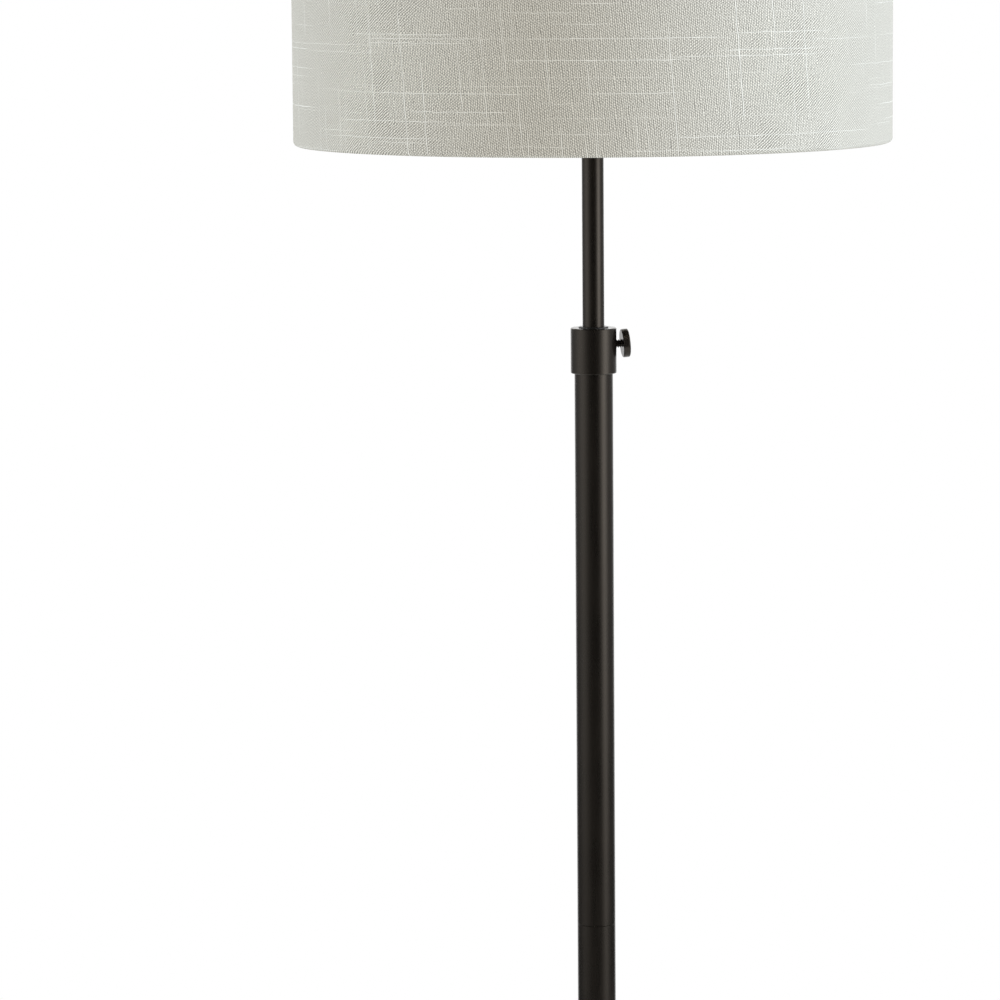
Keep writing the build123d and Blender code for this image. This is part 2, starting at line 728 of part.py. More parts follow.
# Drum shade: fabric rolled over a wire ring at each end, with a stiff liner behind it
shade_radius = shade_diameter / 2
shade_top = rim + shade_height
ring_wire = shade_wire_diameter / 2
hem_layers = 2 * shade_fabric_thickness + shade_liner_thickness + shade_wire_diameter
hem_thickness = hem_layers + 3 * shade_layer_gap
roll = hem_thickness / 2
roll_inside = roll - shade_fabric_thickness
liner_outer = shade_radius - shade_fabric_thickness - shade_layer_gap
ring_radius = liner_outer - shade_liner_thickness - shade_layer_gap - ring_wire
hem_inner = shade_radius - hem_thickness
low = rim + roll
high = shade_top - roll
with BuildPart() as shade_fabric:
    with BuildSketch(Plane.XZ):
        with BuildLine():
            for end, turn, hem in ((high, 180, -shade_hem_length), (low, -180, shade_hem_length)):
                CenterArc((shade_radius - roll, end), roll, 0, turn)
                CenterArc((shade_radius - roll, end), roll_inside, 0, turn)
                Polyline(
                    (hem_inner, end),
                    (hem_inner, end + hem),
                    (hem_inner + shade_fabric_thickness, end + hem),
                    (hem_inner + shade_fabric_thickness, end),
                )
            Line((shade_radius, low), (shade_radius, high))
            Line((shade_radius - shade_fabric_thickness, low), (shade_radius - shade_fabric_thickness, high))
        make_face()
    revolve(axis=Axis.Z)
    with BuildSketch(Plane.XY.offset(high - shade_hem_length)):
        with PolarLocations(hem_inner, spider_arm_count, start_angle=spider_first_angle):
            Rectangle(roll, shade_wire_diameter + 2 * spider_slot_side_gap)
    extrude(amount=shade_hem_length + ring_wire, mode=Mode.SUBTRACT)
finish(shade_fabric.part, "shade_fabric")

tube("shade_liner", liner_outer, liner_outer - shade_liner_thickness, low, high)

with BuildPart() as shade_bottom_ring:
    with BuildSketch(Plane.XZ):
        with Locations((ring_radius, low)):
            Circle(ring_wire)
    revolve(axis=Axis.Z)
finish(shade_bottom_ring.part, "shade_bottom_ring")

# Spider: a washer on the harp's stud, with arms that slope up to the top ring
arm_height = spider_seat + spider_washer_thickness / 2
with BuildPart() as shade_spider:
    with BuildSketch(Plane.XZ):
        with Locations((ring_radius, high)):
            Circle(ring_wire)
    revolve(axis=Axis.Z)
    for number in range(spider_arm_count):
        angle = radians(spider_first_angle + number * 360 / spider_arm_count)
        outward = (cos(angle), sin(angle), 0)
        across = (sin(angle), -cos(angle), 0)
        with BuildLine(Plane((0, 0, 0), x_dir=outward, z_dir=across)) as arm_line:
            FilletPolyline(
                (spider_arm_root, arm_height),
                (ring_radius - spider_arm_slope_run, arm_height),
                (ring_radius, high),
                radius=spider_arm_bend_radius,
            )
        with BuildSketch(Plane(arm_line.line @ 0, x_dir=across, z_dir=outward)):
            Circle(ring_wire)
        sweep(path=arm_line.line)
    with BuildSketch(Plane.XY.offset(spider_seat)):
        Circle(spider_washer_diameter / 2)
    extrude(amount=spider_washer_thickness)
    with BuildSketch(Plane.XY.offset(spider_seat)):
        Circle(stud_diameter / 2 + loose_gap)
    extrude(amount=spider_washer_thickness, mode=Mode.SUBTRACT)
finish(shade_spider.part, "shade_spider")

# Finial: a turned foot, a neck and a ball, drilled to screw onto the stud
finial_bottom = spider_seat + spider_washer_thickness
finial_neck = finial_neck_diameter / 2
finial_ball = finial_ball_diameter / 2
neck_bottom = finial_bottom + finial_foot_height
ball_meets_neck = neck_bottom + finial_neck_height
finial_centre = ball_meets_neck + sqrt(finial_ball**2 - finial_neck**2)
neck_meets_ball_angle = degrees(atan2(ball_meets_neck - finial_centre, finial_neck))
with BuildPart() as finial:
    with BuildSketch(Plane.XZ) as finial_profile:
        with BuildLine():
            Polyline(
                (0, finial_centre + finial_ball),
                (0, finial_bottom),
                (finial_foot_diameter / 2, finial_bottom),
                (finial_foot_diameter / 2, neck_bottom),
                (finial_neck, neck_bottom),
                (finial_neck, ball_meets_neck),
            )
            CenterArc((0, finial_centre), finial_ball, neck_meets_ball_angle, 90 - neck_meets_ball_angle)
        make_face()
        foot_corners = finial_profile.vertices().filter_by_position(Axis.Y, finial_bottom, neck_bottom)
        fillet(foot_corners.sort_by(Axis.X)[-2:], finial_foot_fillet)
    revolve(axis=Axis.Z)
    with BuildSketch(Plane.XY.offset(finial_bottom)):
        Circle(stud_diameter / 2 + turn_gap)
    extrude(amount=stud_height - spider_washer_thickness + turn_gap, mode=Mode.SUBTRACT)
finish(finial.part, "finial")

os.makedirs("parts", exist_ok=True)
for part in pieces:
    export_step(part, f"parts/{part.label}.step")
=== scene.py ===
import json
import bpy
import numpy as np
from mathutils import Matrix, Vector


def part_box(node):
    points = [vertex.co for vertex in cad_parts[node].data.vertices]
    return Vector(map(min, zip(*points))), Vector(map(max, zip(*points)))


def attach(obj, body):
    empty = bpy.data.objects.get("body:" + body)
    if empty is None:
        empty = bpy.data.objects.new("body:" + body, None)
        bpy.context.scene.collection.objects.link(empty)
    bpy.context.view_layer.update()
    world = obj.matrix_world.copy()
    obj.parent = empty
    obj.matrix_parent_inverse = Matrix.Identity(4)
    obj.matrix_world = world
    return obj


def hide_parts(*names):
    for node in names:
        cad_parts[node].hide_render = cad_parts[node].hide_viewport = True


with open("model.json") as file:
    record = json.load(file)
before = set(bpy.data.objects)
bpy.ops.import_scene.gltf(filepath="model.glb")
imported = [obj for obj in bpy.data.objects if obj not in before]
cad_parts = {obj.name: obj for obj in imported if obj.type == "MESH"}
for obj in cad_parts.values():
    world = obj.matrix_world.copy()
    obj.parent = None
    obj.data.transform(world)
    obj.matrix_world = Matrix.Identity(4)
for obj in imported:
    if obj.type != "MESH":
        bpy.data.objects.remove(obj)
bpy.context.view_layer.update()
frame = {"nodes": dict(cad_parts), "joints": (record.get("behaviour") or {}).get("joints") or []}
nodes = frame["nodes"]
joints = {joint["name"]: joint for joint in frame["joints"]}
scene = bpy.context.scene
scene.view_settings.view_transform = "Standard"
print("frame loaded with", len(nodes), "nodes")

# the lamp stands on the Z axis; angles round it are counted from the camera, plus to the camera's right
cameraSet = {"distance": 3.2, "height": 1.472, "pitch": 7.35, "yaw": -1.233, "roll": -0.45, "azimuth": -9.0,
             "focalPixels": 4420.0, "imagePixels": 1000.0, "sensor": 36.0, "reach": 100.0}


def makeCamera(s):
    yaw, pitch, roll = np.radians([s["yaw"], s["pitch"], s["roll"]])
    ahead = Vector((np.sin(yaw) * np.cos(pitch), np.cos(yaw) * np.cos(pitch), -np.sin(pitch)))
    right = Vector((np.cos(yaw), -np.sin(yaw), 0))
    up = right.cross(ahead)
    across = np.cos(roll) * right + np.sin(roll) * up
    upright = np.cos(roll) * up - np.sin(roll) * right
    data = bpy.data.cameras.new("camera")
    data.sensor_width = s["sensor"]
    data.lens = s["focalPixels"] / s["imagePixels"] * s["sensor"]
    data.clip_end = s["reach"]
    camera = bpy.data.objects.new("camera", data)
    scene.collection.objects.link(camera)
    turn = Matrix.Rotation(np.radians(s["azimuth"]), 4, "Z")
    place = Matrix.Translation((0, -s["distance"], s["height"]))
    camera.matrix_world = turn @ place @ Matrix((across, upright, -ahead)).transposed().to_4x4()
    scene.camera = camera


makeCamera(cameraSet)
print("camera set")


# a size read from the frame, to a hundredth of a millimetre
def metres(value):
    return round(float(value), 5)


# a point at an angle round the lamp, a distance from its axis and a height
def roundLamp(angle, radius, height):
    turn = np.radians(cameraSet["azimuth"]) + np.radians(angle)
    return radius * np.sin(turn), -radius * np.cos(turn), height


# adds a shader node, links or sets its inputs and gives back one output
def put(tree, kind, inputs=None, out=0, **settings):
    node = tree.nodes.new("ShaderNode" + kind)
    for key, value in settings.items():
        setattr(node, key, value)
    for key, value in (inputs or {}).items():
        if isinstance(value, bpy.types.NodeSocket):
            tree.links.new(value, node.inputs[key])
        else:
            node.inputs[key].default_value = value
    return node.outputs[out]


def calc(tree, operation, *values):
    return put(tree, "Math", dict(enumerate(values)), operation=operation)


def ramp(tree, value, low, high, start=0.0, end=1.0, smooth=True):
    inputs = {"Value": value, "From Min": low, "From Max": high, "To Min": start, "To Max": end}
    kind = "SMOOTHSTEP" if smooth else "LINEAR"
    return put(tree, "MapRange", inputs, interpolation_type=kind)


def noiseAt(tree, x, y, z, detail=0.0):
    spot = put(tree, "CombineXYZ", {0: x, 1: y, 2: z})
    return put(tree, "TexNoise", {"Vector": spot, "Scale": 1.0, "Detail": detail})


def blendColour(tree, share, first, second):
    inputs = {0: share, 6: first, 7: second}
    return put(tree, "Mix", inputs, out=2, data_type="RGBA")


# the light path, and 1 for the rays that should see white: straight, mirrored or through glass
def whiteRays(tree):
    path = tree.nodes.new("ShaderNodeLightPath").outputs
    seen = calc(tree, "MAXIMUM", path["Is Camera Ray"], path["Is Glossy Ray"])
    return path, calc(tree, "MAXIMUM", seen, path["Is Transmission Ray"])


def newMaterial(name):
    material = bpy.data.materials.new(name + "Finish")
    material.use_nodes = True
    tree = material.node_tree
    shader = tree.nodes["Principled BSDF"]
    return material, tree, shader


# four-sided faces between the neighbours of a grid, closed round where it wraps
def gridFaces(rows, cols, wrapRows=False, wrapCols=False):
    r = np.arange(rows if wrapRows else rows - 1)[:, None]
    c = np.arange(cols if wrapCols else cols - 1)[None, :]
    nextRow = (r + 1) % rows
    nextCol = (c + 1) % cols
    corners = [r * cols + c, r * cols + nextCol, nextRow * cols + nextCol, nextRow * cols + c]
    return np.stack(np.broadcast_arrays(*corners), axis=-1).reshape(-1, 4)


def makePiece(name, points, faces, material, uv=None, crease=40.0, caps=()):
    mesh = bpy.data.meshes.new(name)
    allFaces = faces.tolist() + [cap.tolist() for cap in caps]
    mesh.from_pydata(points.reshape(-1, 3).tolist(), [], allFaces)
    mesh.materials.append(material)
    mesh.polygons.foreach_set("use_smooth", np.ones(len(mesh.polygons), dtype=bool))
    if uv is not None:
        corner = np.empty(len(mesh.loops), dtype=np.int32)
        mesh.loops.foreach_get("vertex_index", corner)
        mesh.uv_layers.new(name="cloth").data.foreach_set("uv", uv.reshape(-1, 2)[corner].ravel())
    mesh.set_sharp_from_angle(angle=np.radians(crease))
    mesh.update()
    piece = bpy.data.objects.new(name, mesh)
    scene.collection.objects.link(piece)
    return piece


# studio: a soft box on each side, a warm fill and a white surround
lightSet = {"rightAngle": 72.0, "rightPower": 29.4, "leftAngle": -86.0, "leftPower": 18.6,
            "distance": 2.2, "height": 1.5, "size": (0.5, 2.0), "tint": (0.877, 0.997, 1.129),
            "fill": (0.622, 0.592, 0.538, 1), "white": (1, 1, 1, 1)}


def softBox(name, angle, power):
    data = bpy.data.lights.new(name, "AREA")
    data.shape = "RECTANGLE"
    data.size, data.size_y = lightSet["size"]
    data.energy = power
    data.color = lightSet["tint"]
    lamp = bpy.data.objects.new(name, data)
    scene.collection.objects.link(lamp)
    lamp.location = roundLamp(angle, lightSet["distance"], lightSet["height"])
    inward = Vector((-lamp.location.x, -lamp.location.y, 0))
    lamp.rotation_euler = inward.to_track_quat("-Z", "Y").to_euler()
    lamp.visible_camera = False
    lamp.visible_glossy = False


def makeSurround(s):
    world = bpy.data.worlds.new("surround")
    scene.world = world
    world.use_nodes = True
    tree = world.node_tree
    seen = whiteRays(tree)[1]
    surround = blendColour(tree, seen, s["fill"], s["white"])
    tree.links.new(surround, tree.nodes["Background"].inputs["Color"])


softBox("rightBox", lightSet["rightAngle"], lightSet["rightPower"])
softBox("leftBox", lightSet["leftAngle"], lightSet["leftPower"])
makeSurround(lightSet)

# a tent of soft cards that only reflections see: dark in front and overhead, white behind, a strip each side
cardSet = {"radius": 4.5, "low": -1.2, "wall": 4.2, "roof": 5.4, "rows": 44, "around": 240,
           "right": (61.0, 13.0, 2.6), "left": (-68.0, 22.0, 0.90),  # angle, spread and peak of a strip
           "sides": (0.22, 0.31), "sideFrom": 30.0, "sideTo": 70.0,  # levels left and right
           "back": (1.25, 1.9), "backHeights": (1.2, 1.6), "backFrom": 140.0, "backTo": 155.0,
           "heights": (-0.5, -0.3, 0.17, 0.53, 0.75, 1.0), "levels": (0.07, 0.13, 0.68, 1.0, 0.9, 1.4),
           "front": 0.01, "roofFade": 8.0, "roofHole": 0.02}


def makeCards(s):
    rise, turn = np.meshgrid(np.linspace(s["low"], s["roof"], s["rows"]),
                             np.linspace(-180, 180, s["around"], endpoint=False), indexing="ij")
    # brightness = a bell for each strip and a dim level at the sides, lower near the floor, and white behind
    bells = 0
    for middle, wide, peak in (s["right"], s["left"]):
        bells = bells + peak * np.exp(-0.5 * ((turn - middle) / wide) ** 2)
    aside = np.clip((np.abs(turn) - s["sideFrom"]) / (s["sideTo"] - s["sideFrom"]), 0, 1)
    behind = np.clip((np.abs(turn) - s["backFrom"]) / (s["backTo"] - s["backFrom"]), 0, 1)
    sides = np.where(turn < 0, *s["sides"]) * aside
    fall = np.interp(rise, s["heights"], s["levels"])
    back = np.interp(rise, s["backHeights"], s["back"])
    glow = (sides + bells) * fall * (1 - behind) + back * behind
    # above the wall the tent closes to a dark roof
    inward = np.clip((rise - s["wall"]) / (s["roof"] - s["wall"]), 0, 1)
    glow = glow * (1 - np.clip(inward * s["roofFade"], 0, 1)) + s["front"]
    x, y, z = roundLamp(turn, s["radius"] * (1 - (1 - s["roofHole"]) * inward), rise)
    material, tree = newMaterial("cards")[:2]
    level = put(tree, "Attribute", out=2, attribute_name="glow")
    shine = put(tree, "Emission", {"Color": lightSet["white"], "Strength": level})
    tree.links.new(shine, tree.nodes["Material Output"].inputs["Surface"])
    faces = gridFaces(s["rows"], s["around"], wrapCols=True)
    cards = makePiece("cards", np.stack([x, y, z], axis=-1), faces, material)
    cards.data.attributes.new("glow", "FLOAT", "POINT").data.foreach_set("value", glow.ravel())
    for ray in ("camera", "diffuse", "shadow", "transmission"):
        setattr(cards, "visible_" + ray, False)


makeCards(cardSet)

# a pale round floor that turns white far out
floorSet = {"radius": 2.3, "hub": 0.01, "rings": 24, "spokes": 96, "rough": 0.8, "grain": 6.0,
            "colour": (0.84, 0.84, 0.83, 1), "other": (0.855, 0.855, 0.845, 1), "patches": (0.3, 0.7),
            "whiteFrom": 0.9, "whiteTo": 2.2, "openFrom": 0.7, "openTo": 1.3}


def makeFloor(s):
    material, tree, shader = newMaterial("floor")
    spot = put(tree, "TexCoord", out=3)
    away = put(tree, "VectorMath", {0: spot}, out=1, operation="LENGTH")
    grain = put(tree, "TexNoise", {"Vector": spot, "Scale": s["grain"], "Detail": 2.0})
    tone = blendColour(tree, ramp(tree, grain, *s["patches"]), s["colour"], s["other"])
    tree.links.new(tone, shader.inputs["Base Color"])
    shader.inputs["Roughness"].default_value = s["rough"]
    path, seen = whiteRays(tree)
    rim = calc(tree, "MULTIPLY", ramp(tree, away, s["whiteFrom"], s["whiteTo"]), seen)
    white = put(tree, "Emission", {"Color": lightSet["white"], "Strength": 1.0})
    mixed = put(tree, "MixShader", {0: rim, 1: shader.outputs[0], 2: white})
    # far out, reflections see past it to the cards, and from below the camera sees through it
    under = tree.nodes.new("ShaderNodeNewGeometry").outputs["Backfacing"]
    clear = calc(tree, "MULTIPLY", ramp(tree, away, s["openFrom"], s["openTo"]), path["Is Glossy Ray"])
    clear = calc(tree, "MAXIMUM", clear, calc(tree, "MULTIPLY", under, path["Is Camera Ray"]))
    mixed = put(tree, "MixShader", {0: clear, 1: mixed, 2: put(tree, "BsdfTransparent")})
    tree.links.new(mixed, tree.nodes["Material Output"].inputs["Surface"])
    # a flat disc in rings
    ring, spoke = np.meshgrid(np.linspace(s["hub"], 1, s["rings"]) * s["radius"],
                              np.linspace(0, 2 * np.pi, s["spokes"], endpoint=False), indexing="ij")
    points = np.stack([ring * np.cos(spoke), ring * np.sin(spoke), 0 * ring], axis=-1)
    faces = gridFaces(s["rings"], s["spokes"], wrapCols=True)
    ground = makePiece("ground", points, faces[:, ::-1], material)


makeFloor(floorSet)
print("studio set")

# finishes: colour and roughness wander over the surface with noise, with a fine bump
finishes = {
    "bronze": {"colour": (0.0062, 0.0051, 0.0042), "other": (0.0081, 0.0065, 0.0053),
               "specular": 0.53, "sheen": (1.0, 0.89, 0.77, 1),
               "rough": (0.25, 0.31), "grain": (260, 260, 24), "bump": 0.00001},
    "shade_lining": {"colour": (0.80, 0.79, 0.76), "other": (0.84, 0.83, 0.80), "specular": 0.4,
                     "rough": (0.45, 0.55), "grain": (60, 60, 60), "bump": 0.00002},
    "shade_wire": {"colour": (0.74, 0.73, 0.71), "other": (0.80, 0.79, 0.77),
                   "rough": (0.35, 0.5), "grain": (300, 300, 300), "bump": 0.00003},
    "iron": {"colour": (0.030, 0.029, 0.028), "other": (0.060, 0.055, 0.050), "metal": 0.6,
             "rough": (0.55, 0.8), "grain": (220, 220, 220), "bump": 0.0002},
    "steel": {"colour": (0.52, 0.51, 0.49), "other": (0.62, 0.61, 0.59), "metal": 1.0,
              "rough": (0.25, 0.4), "grain": (400, 400, 400), "bump": 0.00002},
    "nylon": {"colour": (0.80, 0.79, 0.74), "other": (0.85, 0.84, 0.80),
              "rough": (0.4, 0.5), "grain": (300, 300, 300), "bump": 0.00002},
    "black_plastic": {"colour": (0.010, 0.010, 0.010), "other": (0.018, 0.018, 0.018),
                      "rough": (0.3, 0.42), "grain": (700, 700, 700), "bump": 0.00003},
    "brass": {"colour": (0.72, 0.53, 0.25), "other": (0.80, 0.60, 0.30), "metal": 1.0,
              "rough": (0.22, 0.36), "grain": (300, 300, 300), "bump": 0.00002},
    "phenolic": {"colour": (0.030, 0.022, 0.018), "other": (0.045, 0.032, 0.025),
                 "rough": (0.3, 0.45), "grain": (200, 200, 200), "bump": 0.00002},
    "card": {"colour": (0.32, 0.24, 0.15), "other": (0.40, 0.31, 0.20), "specular": 0.3,
             "rough": (0.7, 0.85), "grain": (500, 500, 500), "bump": 0.00005},
    "cap_metal": {"colour": (0.70, 0.70, 0.69), "other": (0.80, 0.80, 0.79), "metal": 1.0,
                  "rough": (0.2, 0.35), "grain": (300, 300, 300), "bump": 0.00002},
    "opal_glass": {"colour": (0.86, 0.86, 0.83), "other": (0.89, 0.89, 0.87),
                   "rough": (0.16, 0.24), "grain": (40, 40, 40), "bump": 0.000005},
    "felt": {"colour": (0.018, 0.020, 0.018), "other": (0.040, 0.042, 0.038), "specular": 0.1,
             "rough": (0.9, 1.0), "grain": (900, 900, 900), "bump": 0.0004},
}
# what a finish has unless it says otherwise, and how the fine grain and the broad clouds mix
commonFinish = {"metal": 0.0, "specular": 0.5, "sheen": (1, 1, 1, 1), "clouds": 18.0, "cloudShare": 0.5,
                "tones": (0.35, 0.65), "gloss": (0.3, 0.7)}


def makeFinish(name, own):
    s = {**commonFinish, **own}
    material, tree, shader = newMaterial(name)
    spot = put(tree, "TexCoord", out=3)
    stretched = put(tree, "VectorMath", {0: spot, 1: s["grain"]}, operation="MULTIPLY")
    grain = put(tree, "TexNoise", {"Vector": stretched, "Scale": 1.0, "Detail": 3.0})
    cloud = put(tree, "TexNoise", {"Vector": spot, "Scale": s["clouds"], "Detail": 2.0})
    fine = calc(tree, "MULTIPLY", grain, 1 - s["cloudShare"])
    share = calc(tree, "ADD", fine, calc(tree, "MULTIPLY", cloud, s["cloudShare"]))
    tone = blendColour(tree, ramp(tree, share, *s["tones"]), (*s["colour"], 1), (*s["other"], 1))
    tree.links.new(tone, shader.inputs["Base Color"])
    rough = ramp(tree, share, *s["gloss"], *s["rough"], smooth=False)
    tree.links.new(rough, shader.inputs["Roughness"])
    shader.inputs["Metallic"].default_value = s["metal"]
    shader.inputs["Specular IOR Level"].default_value = s["specular"]
    shader.inputs["Specular Tint"].default_value = s["sheen"]
    bump = put(tree, "Bump", {"Height": grain, "Strength": 1.0, "Distance": s["bump"]})
    tree.links.new(bump, shader.inputs["Normal"])
    return material


finish = {name: makeFinish(name, own) for name, own in finishes.items()}

# linen: plain weave of uneven threads with pale slubs, laid out on the cloth's own flat metres
# a noise is its repeats a metre along and up, its seed, its spread and its detail
# a ramp is the two values it runs between and what it gives at each, and runs are repeats a metre and a seed
linenSet = {"colour": (0.644, 0.632, 0.582), "pale": (0.637, 0.637, 0.606), "rough": 0.92, "specular": 0.15,
            "warp": 0.00136, "weft": 0.00097, "lean": 0.085,
            "warpWander": (420, 110, 1.5, 0.9), "weftWander": (110, 460, 7.5, 1.1),
            "swing": (9.0, -0.99), "swingShare": 0.50, "patches": (40, 40, 3.2, 1.2, 1.0),
            "rising": (-0.4, 0.4, 2.05, 0.36), "falling": (-0.4, 0.4, 0.50, 0.62),
            "warpGapDepthAndShade": (-0.3, 0.4, -0.129, -0.43), "weftGapDepthAndShade": -0.12,
            "onTop": (-0.2, 0.2), "strands": 6.0, "strandSeeds": (41.7, 47.3),
            "weftRuns": (6, 11.3), "warpRuns": (6.5, 23.8), "runApart": 7.31, "weightApart": 5.13,
            "run": (0.635, 0.71), "width": (0.34, 0.18), "weight": (0.35, 0.65, 0.3, 1.0),
            # smooth turns the weave's contrast down where the soft boxes light the drum face-on: painted flat
            # lighting
            "smooth": (-0.42, 0.22, 0.36, 1.16), "ribbed": (0.5, 0.95, 1.0, 0.87), "paler": 0.05,
            "raised": (-0.4, 1.0, 0.6, 1.13), "specks": (1100, 1000, 17.1, 2.0),
            "weave": 0.42, "grain": 0.42, "fibre": 0.26, "slub": 0.68, "least": 0.32, "most": 1.55,
            "bump": 0.00005, "slubHeight": 1.2}


def makeLinen(s):
    material, tree, shader = newMaterial("linen")
    u = put(tree, "SeparateXYZ", {0: put(tree, "UVMap", uv_map="cloth")})
    v = u.node.outputs[1]

    def times(first, second):
        return calc(tree, "MULTIPLY", first, second)

    def wave(value, turns):
        return calc(tree, "COSINE", times(value, turns * 2 * np.pi))

    def noise(along, up, seed, spread=1.0, detail=0.0):
        value = noiseAt(tree, times(u, along), times(v, up), seed, detail)
        return calc(tree, "MULTIPLY_ADD", value, spread, -0.5 * spread)

    # threads counted across and up, with a little wander sideways
    leaning = calc(tree, "MULTIPLY_ADD", v, s["lean"], u)
    p = calc(tree, "MULTIPLY_ADD", leaning, 1 / s["warp"], noise(*s["warpWander"]))
    q = calc(tree, "MULTIPLY_ADD", v, 1 / s["weft"], noise(*s["weftWander"]))
    # crossings: warp lies over weft where one diagonal wave is higher than the other
    rising = wave(calc(tree, "SUBTRACT", p, q), 0.5)
    falling = wave(calc(tree, "ADD", p, q), 0.5)
    # which wave leads changes over a hand's width, and from one side of the drum to the next
    swing = calc(tree, "SINE", calc(tree, "MULTIPLY_ADD", u, *s["swing"]))
    patch = calc(tree, "MULTIPLY_ADD", swing, s["swingShare"], noise(*s["patches"]))
    over = calc(tree, "SUBTRACT", times(rising, ramp(tree, patch, *s["rising"])),
                times(falling, ramp(tree, patch, *s["falling"])))
    # painted shade: the gaps between neighbouring threads are darkened in colour, darkest at the thread
    # edges, and also sunk in the bump; fibres along the thread on top
    gapShadeAcross = times(wave(p, 1), ramp(tree, patch, *s["warpGapDepthAndShade"]))
    gapShadeUp = times(wave(q, 1), s["weftGapDepthAndShade"])
    gapDepthAndShade = calc(tree, "ADD", gapShadeAcross, gapShadeUp)
    onTop = ramp(tree, over, *s["onTop"])
    fibreUp = noiseAt(tree, times(p, s["strands"]), q, s["strandSeeds"][0], 1.0)
    fibreAcross = noiseAt(tree, p, times(q, s["strands"]), s["strandSeeds"][1], 1.0)
    fibre = calc(tree, "MULTIPLY_ADD", onTop, calc(tree, "SUBTRACT", fibreUp, fibreAcross), fibreAcross)

    # the thick pale runs along some threads: few, narrow and long
    def slubsOf(thread, along, repeats, seed):
        index = calc(tree, "FLOOR", thread)
        aside = calc(tree, "ABSOLUTE", calc(tree, "SUBTRACT", calc(tree, "FRACT", thread), 0.5))
        run = noiseAt(tree, times(along, repeats), times(index, s["runApart"]), seed, 1.0)
        weight = noiseAt(tree, times(index, s["weightApart"]), 0.5, seed)
        shape = times(ramp(tree, run, *s["run"]), ramp(tree, aside, *s["width"]))
        return times(shape, ramp(tree, weight, *s["weight"]))

    slub = calc(tree, "MAXIMUM", slubsOf(q, u, *s["weftRuns"]), slubsOf(p, v, *s["warpRuns"]))
    # painted flat lighting: the weave's contrast is turned down where the rising wave leads most, the two
    # bands round the drum that the soft boxes light face-on, not a property of the cloth; it is highest half
    # way to the ribs
    contrastWithPaintedFlatLight = times(ramp(tree, swing, *s["smooth"]), ramp(tree, swing, *s["ribbed"]))
    # the weave's brightness carries the painted shade of the thread gaps
    light = calc(tree, "MULTIPLY_ADD", over, s["weave"], gapDepthAndShade)
    light = calc(tree, "MULTIPLY_ADD", noise(*s["specks"]), s["grain"], light)
    light = calc(tree, "MULTIPLY_ADD", calc(tree, "SUBTRACT", fibre, 0.5), 2 * s["fibre"], light)
    light = calc(tree, "MULTIPLY_ADD", calc(tree, "ADD", light, s["paler"]), contrastWithPaintedFlatLight, 1 - s["paler"])
    raised = times(slub, ramp(tree, swing, *s["raised"], smooth=False))
    light = calc(tree, "MULTIPLY_ADD", raised, s["slub"], light)
    light = put(tree, "Clamp", {"Value": light, "Min": s["least"], "Max": s["most"]})
    yarn = blendColour(tree, slub, (*s["colour"], 1), (*s["pale"], 1))
    colour = put(tree, "VectorMath", {0: yarn, "Scale": light}, operation="SCALE")
    tree.links.new(colour, shader.inputs["Base Color"])
    shader.inputs["Roughness"].default_value = s["rough"]
    shader.inputs["Specular IOR Level"].default_value = s["specular"]
    height = calc(tree, "ADD", calc(tree, "MULTIPLY_ADD", slub, s["slubHeight"], over), gapDepthAndShade)
    bump = put(tree, "Bump", {"Height": height, "Strength": 1.0, "Distance": s["bump"]})
    tree.links.new(bump, shader.inputs["Normal"])
    return material


finish["linen"] = makeLinen(linenSet)
for node in nodes.values():
    slotName = node.data.materials[0].name.split(".")[0]
    node.data.materials[0] = finish[slotName]
print("finishes set")

# shade cover: one strip of linen, rolled over the wire at each end and lapped at the back
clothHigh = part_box("shade_fabric")[1]
linerLow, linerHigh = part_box("shade_liner")
drum = {"radius": metres(clothHigh[0]), "low": metres(linerLow[2]), "high": metres(linerHigh[2]),
        "roll": 0.00305, "hem": 0.009, "cloth": 0.0008, "lap": 0.012, "ease": 0.025, "lapLift": 1.1,
        "seam": 75.0, "columns": 560, "wallRows": 40, "rollRows": 14, "hemRows": 3,
        "arms": (90.0, 210.0, 330.0), "slot": 0.0024, "slotTurn": 143.0,
        "slotColumns": (-1.02, -1, -0.5, 0, 0.5, 1, 1.02), "slotReach": 1.01}


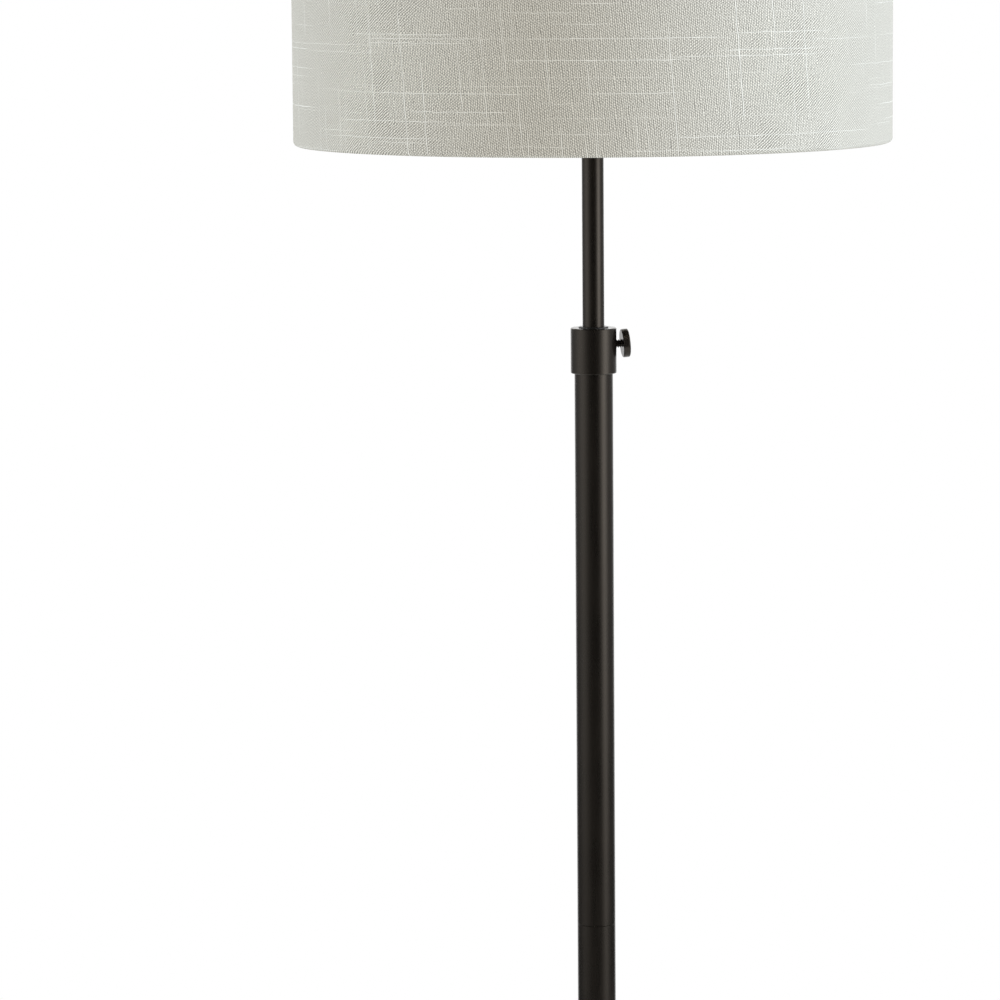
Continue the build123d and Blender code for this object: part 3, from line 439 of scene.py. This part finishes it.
def makeDrum(d):
    arc = np.pi * d["roll"]
    wall = d["high"] - d["low"]
    total = 2 * d["hem"] + 2 * arc + wall
    marks = [0, d["hem"], d["hem"] + arc, d["hem"] + arc + wall, total - d["hem"], total]
    counts = [d["hemRows"], d["rollRows"], d["wallRows"], d["rollRows"], d["hemRows"]]
    spans = [np.linspace(a, b, n, endpoint=False) for a, b, n in zip(marks[:-1], marks[1:], counts)]
    s = np.concatenate(spans + [[total]])
    sweep = 2 * np.pi + d["lap"] / d["radius"]
    start = np.radians(d["seam"])
    turn = start + np.linspace(0, sweep, d["columns"])
    edge = d["slot"] / d["radius"]
    slots = np.radians(d["arms"])
    slots = start + (slots - start) % (2 * np.pi)
    sides = np.concatenate([slots + k * edge for k in d["slotColumns"]])
    turn = np.unique(np.concatenate([turn, sides]))
    # beside each arm the top hem stops short, where it meets the wire
    near = np.min(np.abs(turn[:, None] - slots[None, :]), axis=1) <= edge * d["slotReach"]
    crown = marks[3] + d["roll"] * np.pi / 2
    short = (marks[3] + d["roll"] * np.radians(d["slotTurn"]) - crown) / (total - crown)
    s2, turn2 = np.meshgrid(s, turn, indexing="ij")
    s2 = np.where(near[None, :] & (s2 > crown), crown + (s2 - crown) * short, s2)
    # down the lower hem, half a turn round its wire and up the wall,
    # then half a turn round the upper wire and down its hem
    lowTurn = np.clip((s2 - marks[1]) / d["roll"], 0, np.pi)
    highTurn = np.clip((s2 - marks[3]) / d["roll"], 0, np.pi)
    r = d["radius"] - d["roll"] + d["roll"] * (np.cos(highTurn) - np.cos(lowTurn) - 1)
    z = (d["low"] + np.maximum(marks[1] - s2, 0) - d["roll"] * np.sin(lowTurn)
         + np.clip(s2 - marks[2], 0, wall) + d["roll"] * np.sin(highTurn) - np.maximum(s2 - marks[4], 0))
    facing = np.pi + lowTurn + highTurn
    # the lapped end climbs by one cloth's thickness before it lies on the first end
    pastEase = (turn2 - start - sweep + (d["lap"] + d["ease"]) / d["radius"]) * d["radius"]
    climb = np.clip(pastEase / d["ease"], 0, 1)
    lift = climb * climb * (3 - 2 * climb) * d["cloth"] * d["lapLift"]

    def layer(out):
        rr = r + out * np.cos(facing)
        return np.stack([rr * np.cos(turn2), rr * np.sin(turn2), z + out * np.sin(facing)], axis=-1)

    points = np.concatenate([layer(lift), layer(lift - d["cloth"])[::-1]])
    flat = np.stack([turn2 * d["radius"], s2], axis=-1)
    uv = np.concatenate([flat, flat[::-1]])
    rows, cols = s2.shape
    faces = gridFaces(2 * rows, cols, wrapRows=True)
    # the two cut ends of the strip
    outer = np.arange(rows - 1) * cols
    inner = (2 * rows - 1 - np.arange(rows - 1)) * cols
    first = np.stack([outer, outer + cols, inner - cols, inner], axis=-1)
    faces = np.concatenate([faces, first, first[:, ::-1] + cols - 1])
    cover = makePiece("linen_cover", points, faces, finish["linen"], uv)
    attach(cover, "shade")
    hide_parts("shade_fabric")


makeDrum(drum)
print("shade cover made")

# clamp screw: a rolled thread on the axis that it turns about, with a plain point
# start, shoulder and end are counted from where that axis meets the lamp's
clamp = joints["clamp_turn"]
screw = {"middle": clamp["pos_m"], "axis": clamp["axis"], "rows": 260, "around": 48,
         "start": 0.00964, "shoulder": 0.01114, "end": 0.02475,
         "outer": 0.0030, "depth": 0.00078, "pitch": 0.0015, "flatness": 1.4,
         "tip": 0.0009, "point": 0.0012, "neck": 0.0022, "tipLength": 0.0003, "step": 0.0001, "taper": 0.0008}


def makeScrew(s):
    along, turn = np.meshgrid(np.linspace(s["start"], s["end"], s["rows"]),
                              np.linspace(0, 2 * np.pi, s["around"], endpoint=False), indexing="ij")
    # radius = root plus a flattened wave that climbs one pitch a turn, kept inside the outline of the point
    wave = np.sin(2 * np.pi * along / s["pitch"] - turn)
    crest = np.tanh(s["flatness"] * wave) / np.tanh(s["flatness"])
    thread = s["outer"] - s["depth"] * (0.5 - 0.5 * crest)
    shoulder = s["shoulder"]
    places = [s["start"], s["start"] + s["tipLength"], shoulder, shoulder + s["step"], shoulder + s["taper"]]
    outline = np.interp(along, places, [s["tip"], s["point"], s["point"], s["neck"], s["outer"]])
    r = np.minimum(thread, outline)
    outward = np.array(s["axis"]) / np.linalg.norm(s["axis"])
    sideways = np.array([0, 1, 0])
    rise = np.array([-outward[2], 0, outward[0]])
    root = np.array(s["middle"]) - outward * s["middle"][0] / outward[0]
    points = (root + along[..., None] * outward + (r * np.cos(turn))[..., None] * sideways
              + (r * np.sin(turn))[..., None] * rise)
    rows, cols = along.shape
    faces = gridFaces(rows, cols, wrapCols=True)
    ends = [np.arange(cols)[::-1], (rows - 1) * cols + np.arange(cols)]
    return makePiece("thread", points, faces[:, ::-1], finish["bronze"], crease=60, caps=ends)


threaded = makeScrew(screw)
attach(threaded, "clamp_screw")
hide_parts("clamp_screw")
print("clamp screw made")

# felt: a flat ring with soft rounded edges
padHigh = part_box("base_pad")[1]
felt = {"outer": metres(padHigh[0]), "thick": metres(padHigh[2]), "inner": 0.021, "edge": 0.0008,
        "around": 180, "edgePoints": 5}


def makeFelt(s):
    # section: a rectangle with quarter-round corners, swept round the axis
    edge = s["edge"]
    far = s["outer"] - edge
    near = s["inner"] + edge
    top = s["thick"] - edge
    centres = [(far, edge), (far, top), (near, top), (near, edge)]
    quarter = np.linspace(0, np.pi / 2, s["edgePoints"])
    sweeps = [quarter + (k - 1) * np.pi / 2 for k in range(len(centres))]
    r = np.concatenate([c[0] + edge * np.cos(a) for c, a in zip(centres, sweeps)])
    z = np.concatenate([c[1] + edge * np.sin(a) for c, a in zip(centres, sweeps)])
    turn = np.linspace(0, 2 * np.pi, s["around"], endpoint=False)
    x = r[:, None] * np.cos(turn)
    y = r[:, None] * np.sin(turn)
    points = np.stack([x, y, z[:, None] + 0 * turn], axis=-1)
    faces = gridFaces(len(r), len(turn), wrapRows=True, wrapCols=True)
    return makePiece("felt_pad", points, faces[:, ::-1], finish["felt"], crease=60)


pad = makeFelt(felt)
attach(pad, "stand")
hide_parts("base_pad")
print("felt pad made")
